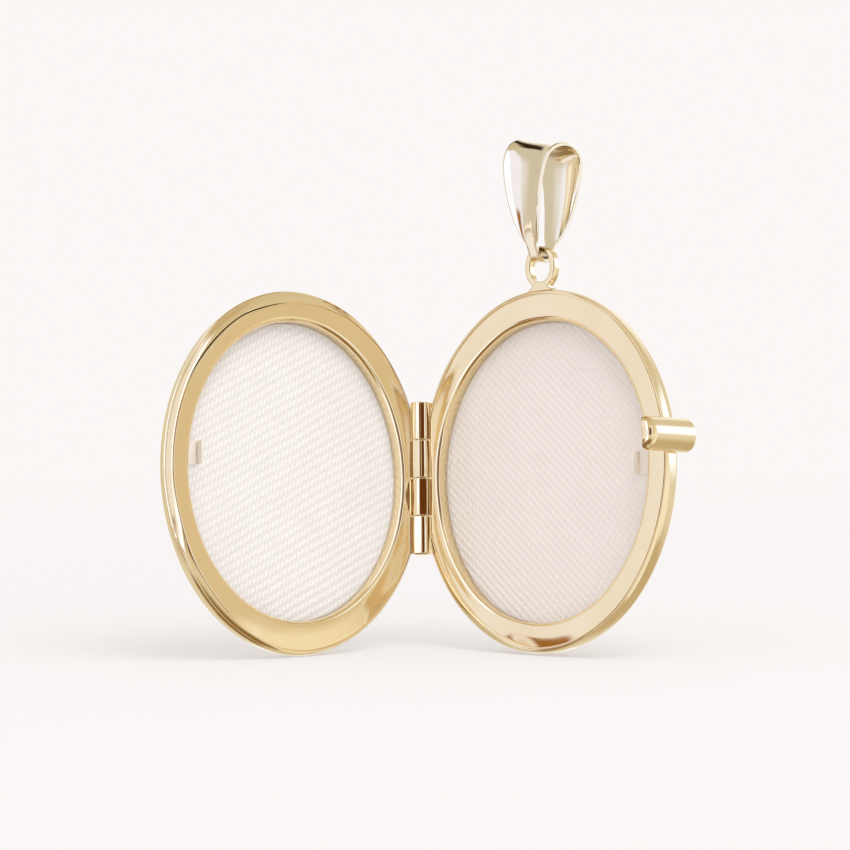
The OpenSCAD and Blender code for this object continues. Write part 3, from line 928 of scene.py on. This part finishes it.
def card_material():
    m, nt, p = material("card", (0.72, 0.68, 0.62), 0.9, 0.0)
    at = object_place(nt)
    grain = noise(nt, at, 5000.0, 4.0, 0.7)
    nt.links.new(mix_colour(nt, span(nt, grain, 0.3, 0.7), (0.74, 0.70, 0.64),
                            (0.66, 0.62, 0.56)), p.inputs["Base Color"])
    nt.links.new(bump(nt, grain, 0.3, 0.00002), p.inputs["Normal"])
    return m


CARD = card_material()

# ------------------------------------------------------------------- pieces
for side in ("back", "front"):
    body = LEAVES[side]["body"]
    finish_piece(build_shell(side), body, GOLD, "gold", f"{side}_shell")
    finish_piece(build_frame(side), body, GOLD_FRAME, "gold_pale", f"{side}_frame")
    finish_piece(build_lens(side), body, LENS, "clear_lens", f"{side}_lens")
    finish_piece(build_tab(side), body, FROSTED, "clear_lens")
weave_back = build_weave("back", lean=0.14, step=0.5, skew=0.10)
finish_piece(weave_back, "back_leaf", CREAM_CLOTH, "woven_cream", "back_insert")
weave_front = build_weave("front", lean=0.165, step=0.262, skew=0.25)
finish_piece(weave_front, "front_cover", WHITE_CLOTH, "woven_white", "front_insert")

for index, name in enumerate(("back_knuckle_top", "front_knuckle_high",
                              "back_knuckle_low", "front_knuckle_bottom")):
    front = name.startswith("front")
    ob = build_knuckle(index, "tube_" + name, place_front if front else place_back,
                       PIN_R + (0.03 if front else 0.0))
    finish_piece(ob, "front_cover" if front else "back_leaf", GOLD_HINGE, "gold_hinge",
                 name)
finish_piece(build_pin(), "back_leaf", GOLD_HINGE, "gold_hinge", "hinge_pin")
finish_piece(build_notch_cup(), "front_cover", GOLD_HINGE, "gold_pale")
finish_piece(build_catch(), "back_leaf", GOLD_BRIGHT, "gold_bright", "catch_bar")
finish_piece(build_loop(), "back_leaf", GOLD_BRIGHT, "gold_bright", "bail_loop")
finish_piece(build_bail(), "bail", GOLD_BAIL, "gold_bright", "bail")

for name, mat in (("back_hinge_plate", GOLD), ("front_hinge_plate", GOLD),
                  ("catch_bead", GOLD_BRIGHT), ("back_card", CARD),
                  ("front_card", CARD)):
    ob = frame["nodes"][name]
    ob.data.materials.clear()
    ob.data.materials.append(mat)

# ------------------------------------------------------------------- camera
DISTANCE, FOCAL = 0.5035, 308.03      # camera to hinge in m, lens in mm
AIM_RIGHT, AIM_UP, ROLL = 0.305, 3.857, math.radians(-0.41)
toward = Vector((math.sin(CAMERA_AZ) * math.cos(CAMERA_EL),
                 -math.cos(CAMERA_AZ) * math.cos(CAMERA_EL), math.sin(CAMERA_EL)))
right = Vector((math.cos(CAMERA_AZ), math.sin(CAMERA_AZ), 0))
up = toward.cross(right)
pivot = Vector((HINGE_X + SHIFT[0], SHIFT[1], SHIFT[2])) * MM
aim = pivot + (right * AIM_RIGHT + up * AIM_UP) * MM
spot = pivot + toward * DISTANCE
camera = link("camera", bpy.data.cameras.new("camera"))
camera.location = spot
back = (spot - aim).normalized()
side_axis = Vector((0, 0, 1)).cross(back).normalized()
top_axis = back.cross(side_axis)
r_axis = side_axis * math.cos(ROLL) + top_axis * math.sin(ROLL)
t_axis = top_axis * math.cos(ROLL) - side_axis * math.sin(ROLL)
camera.rotation_mode = "QUATERNION"
camera.rotation_quaternion = Matrix((r_axis, t_axis, back)).transposed().to_quaternion()
camera.data.sensor_width = 36.0
camera.data.lens = FOCAL
camera.data.clip_start, camera.data.clip_end = 0.05, 5.0
bpy.context.scene.camera = camera

# ------------------------------------------------------------------ studio
BACKDROP = (0.965, 0.930, 0.922)
FILL = 0.87                            # even light on cloth and floor
world = bpy.data.worlds.new("studio")
bpy.context.scene.world = world
world.use_nodes = True
wt = world.node_tree
wt.nodes.clear()
world.cycles.sampling_method = "NONE"


def maths(operation, *values):
    n = node(wt, "ShaderNodeMath", operation=operation)
    for socket, v in zip(n.inputs, values):
        if isinstance(v, (int, float)):
            socket.default_value = v
        else:
            wt.links.new(v, socket)
    return n.outputs[0]


direction = node(wt, "ShaderNodeTexCoord").outputs["Generated"]
split = node(wt, "ShaderNodeSeparateXYZ")
wt.links.new(direction, split.inputs[0])
DEG = 180 / math.pi
azimuth = maths("MULTIPLY", maths("ARCTAN2", split.outputs[0],
                                  maths("MULTIPLY", split.outputs[1], -1.0)), DEG)
height = maths("MULTIPLY", maths("ARCSINE", split.outputs[2]), DEG)


def within(value, half, soft):
    return span(wt, value, half + soft, half - soft, kind="SMOOTHSTEP")


def panel(below, az, el, half_az, half_el, colour, soft):
    """A studio panel or dark flag, as a soft-edged patch of the surroundings."""
    turn = maths("ABSOLUTE", maths("WRAP", maths("SUBTRACT", azimuth, az), 180.0, -180.0))
    lift = maths("ABSOLUTE", maths("SUBTRACT", height, el))
    mask = maths("MULTIPLY", within(turn, half_az, soft), within(lift, half_el, soft))
    return mix_colour(wt, mask, below, colour)


sky = mix_colour(wt, within(maths("ABSOLUTE", height), 30.0, 30.0),
                 (0.70, 0.63, 0.50), (0.82, 0.79, 0.72))
WHITE = (1.3, 1.5, 2.1)                # clips to white on the gold
# Each panel: azimuth and elevation, half width and half height, colour, soft edge.
# A later panel covers an earlier one.
PANELS = (
    (-14, 10, 34, 60, (0.94, 0.955, 1.12), 5),     # broad pale panel, left
    (0, 10, 12, 60, WHITE, 5),                     # white strip in its middle
    (-74, 2, 26, 60, (0.66, 0.60, 0.50), 6),       # tan wall, far left
    (90, 6, 19, 22, (0.76, 0.655, 0.50), 5),       # warm wall, right
    (97, -16, 18, 13, (0.98, 0.93, 0.84), 5),      # pale sweep below it
    (49, 4, 31, 18, (0.14, 0.045, 0.010), 4),      # dark round the lens
    (39, 0, 4, 24, (0.76, 0.655, 0.50), 1),        # warm strip within the dark
    (0, -3, 4, 8, (0.90, 0.88, 0.90), 2),          # grey patch on the white strip
    (80, 10, 7, 27, (1.1, 1.25, 1.6), 3),          # white strip, right
    (122, 0, 12, 30, (0.90, 0.84, 0.68), 4),       # warm card, rear right
    (150, 15, 13, 10, WHITE, 4),                   # white strip, rear right
    (152, -36, 40, 24, (0.60, 0.50, 0.34), 8),     # warm floor, rear right
    (132, -24, 14, 28, (1.0, 1.0, 1.02), 5),       # low card, rear right
    (205, 12, 22, 26, (1.02, 1.03, 1.05), 6),      # rear panel
    (235, 60, 30, 12, (0.03, 0.015, 0.005), 4),    # dark flag over the top
    (-20, -60, 110, 22, (0.30, 0.19, 0.08), 8),    # warm table under the camera
    (-33, -24, 8, 10, (0.36, 0.16, 0.035), 2),     # warm reflector, low left
    (180, 80, 200, 16, (0.62, 0.52, 0.36), 4))     # ceiling
for spec in PANELS:
    sky = panel(sky, *spec)

path = node(wt, "ShaderNodeLightPath")
lit = mix_colour(wt, path.outputs["Is Diffuse Ray"], sky, (FILL, FILL, FILL))
seen = mix_colour(wt, path.outputs["Is Camera Ray"], lit, BACKDROP)
shine = node(wt, "ShaderNodeBackground")
wt.links.new(seen, shine.inputs["Color"])
wt.links.new(shine.outputs[0], node(wt, "ShaderNodeOutputWorld").inputs["Surface"])


def softbox(name, az, el, distance, size, power):
    light = bpy.data.lights.new(name, "AREA")
    light.shape = "DISK"
    light.size = size
    light.energy = power
    ob = link(name, light)
    a, e = math.radians(az), math.radians(el)
    way = Vector((math.sin(a) * math.cos(e), -math.cos(a) * math.cos(e), math.sin(e)))
    ob.location = pivot + way * distance
    ob.rotation_mode = "QUATERNION"
    ob.rotation_quaternion = way.to_track_quat("Z", "Y")
    ob.visible_glossy = False


softbox("key", az=62, el=50, distance=0.45, size=0.34, power=0.75)

# Tilted sweep under the two leaves: half clear in the middle, gone at the edge
TILT, FLOOR_R = math.radians(12.5), 0.16
FLOOR_COLOUR = (0.825, 0.805, 0.805)
FADE_FROM, FADE_TO, CLEAR = 0.03, 0.14, 0.5
normal = Vector((toward.x, toward.y, 0)).normalized() * math.sin(TILT) + Vector(
    (0, 0, math.cos(TILT)))
ground = min(normal.dot(v.co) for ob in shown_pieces() if not ob.get("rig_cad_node")
             for v in ob.data.vertices)
me = bpy.data.meshes.new("floor")
bm = bmesh.new()
bmesh.ops.create_circle(bm, cap_ends=True, segments=96, radius=FLOOR_R)
bm.to_mesh(me)
bm.free()
floor = link("floor", me)
floor.rotation_mode = "QUATERNION"
floor.rotation_quaternion = normal.to_track_quat("Z", "Y")
middle = Vector((-7.0, -4.0, 0)) * MM
floor.location = middle + normal * (ground - normal.dot(middle))
floor.visible_glossy = False
floor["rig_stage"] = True
m, ft = blank_material("floor")
matt = node(ft, "ShaderNodeBsdfDiffuse")
matt.inputs["Color"].default_value = (*FLOOR_COLOUR, 1)
gone = node(ft, "ShaderNodeBsdfTransparent")
far = node(ft, "ShaderNodeVectorMath", operation="LENGTH")
ft.links.new(object_place(ft), far.inputs[0])
fade = span(ft, far.outputs["Value"], FADE_FROM, FADE_TO, CLEAR, kind="SMOOTHSTEP")
blend = node(ft, "ShaderNodeMixShader")
ft.links.new(fade, blend.inputs[0])
ft.links.new(matt.outputs[0], blend.inputs[1])
ft.links.new(gone.outputs[0], blend.inputs[2])
ft.links.new(blend.outputs[0], node(ft, "ShaderNodeOutputMaterial").inputs["Surface"])
floor.data.materials.append(m)

view = bpy.context.scene.view_settings
view.view_transform = "Standard"
view.look = "None"
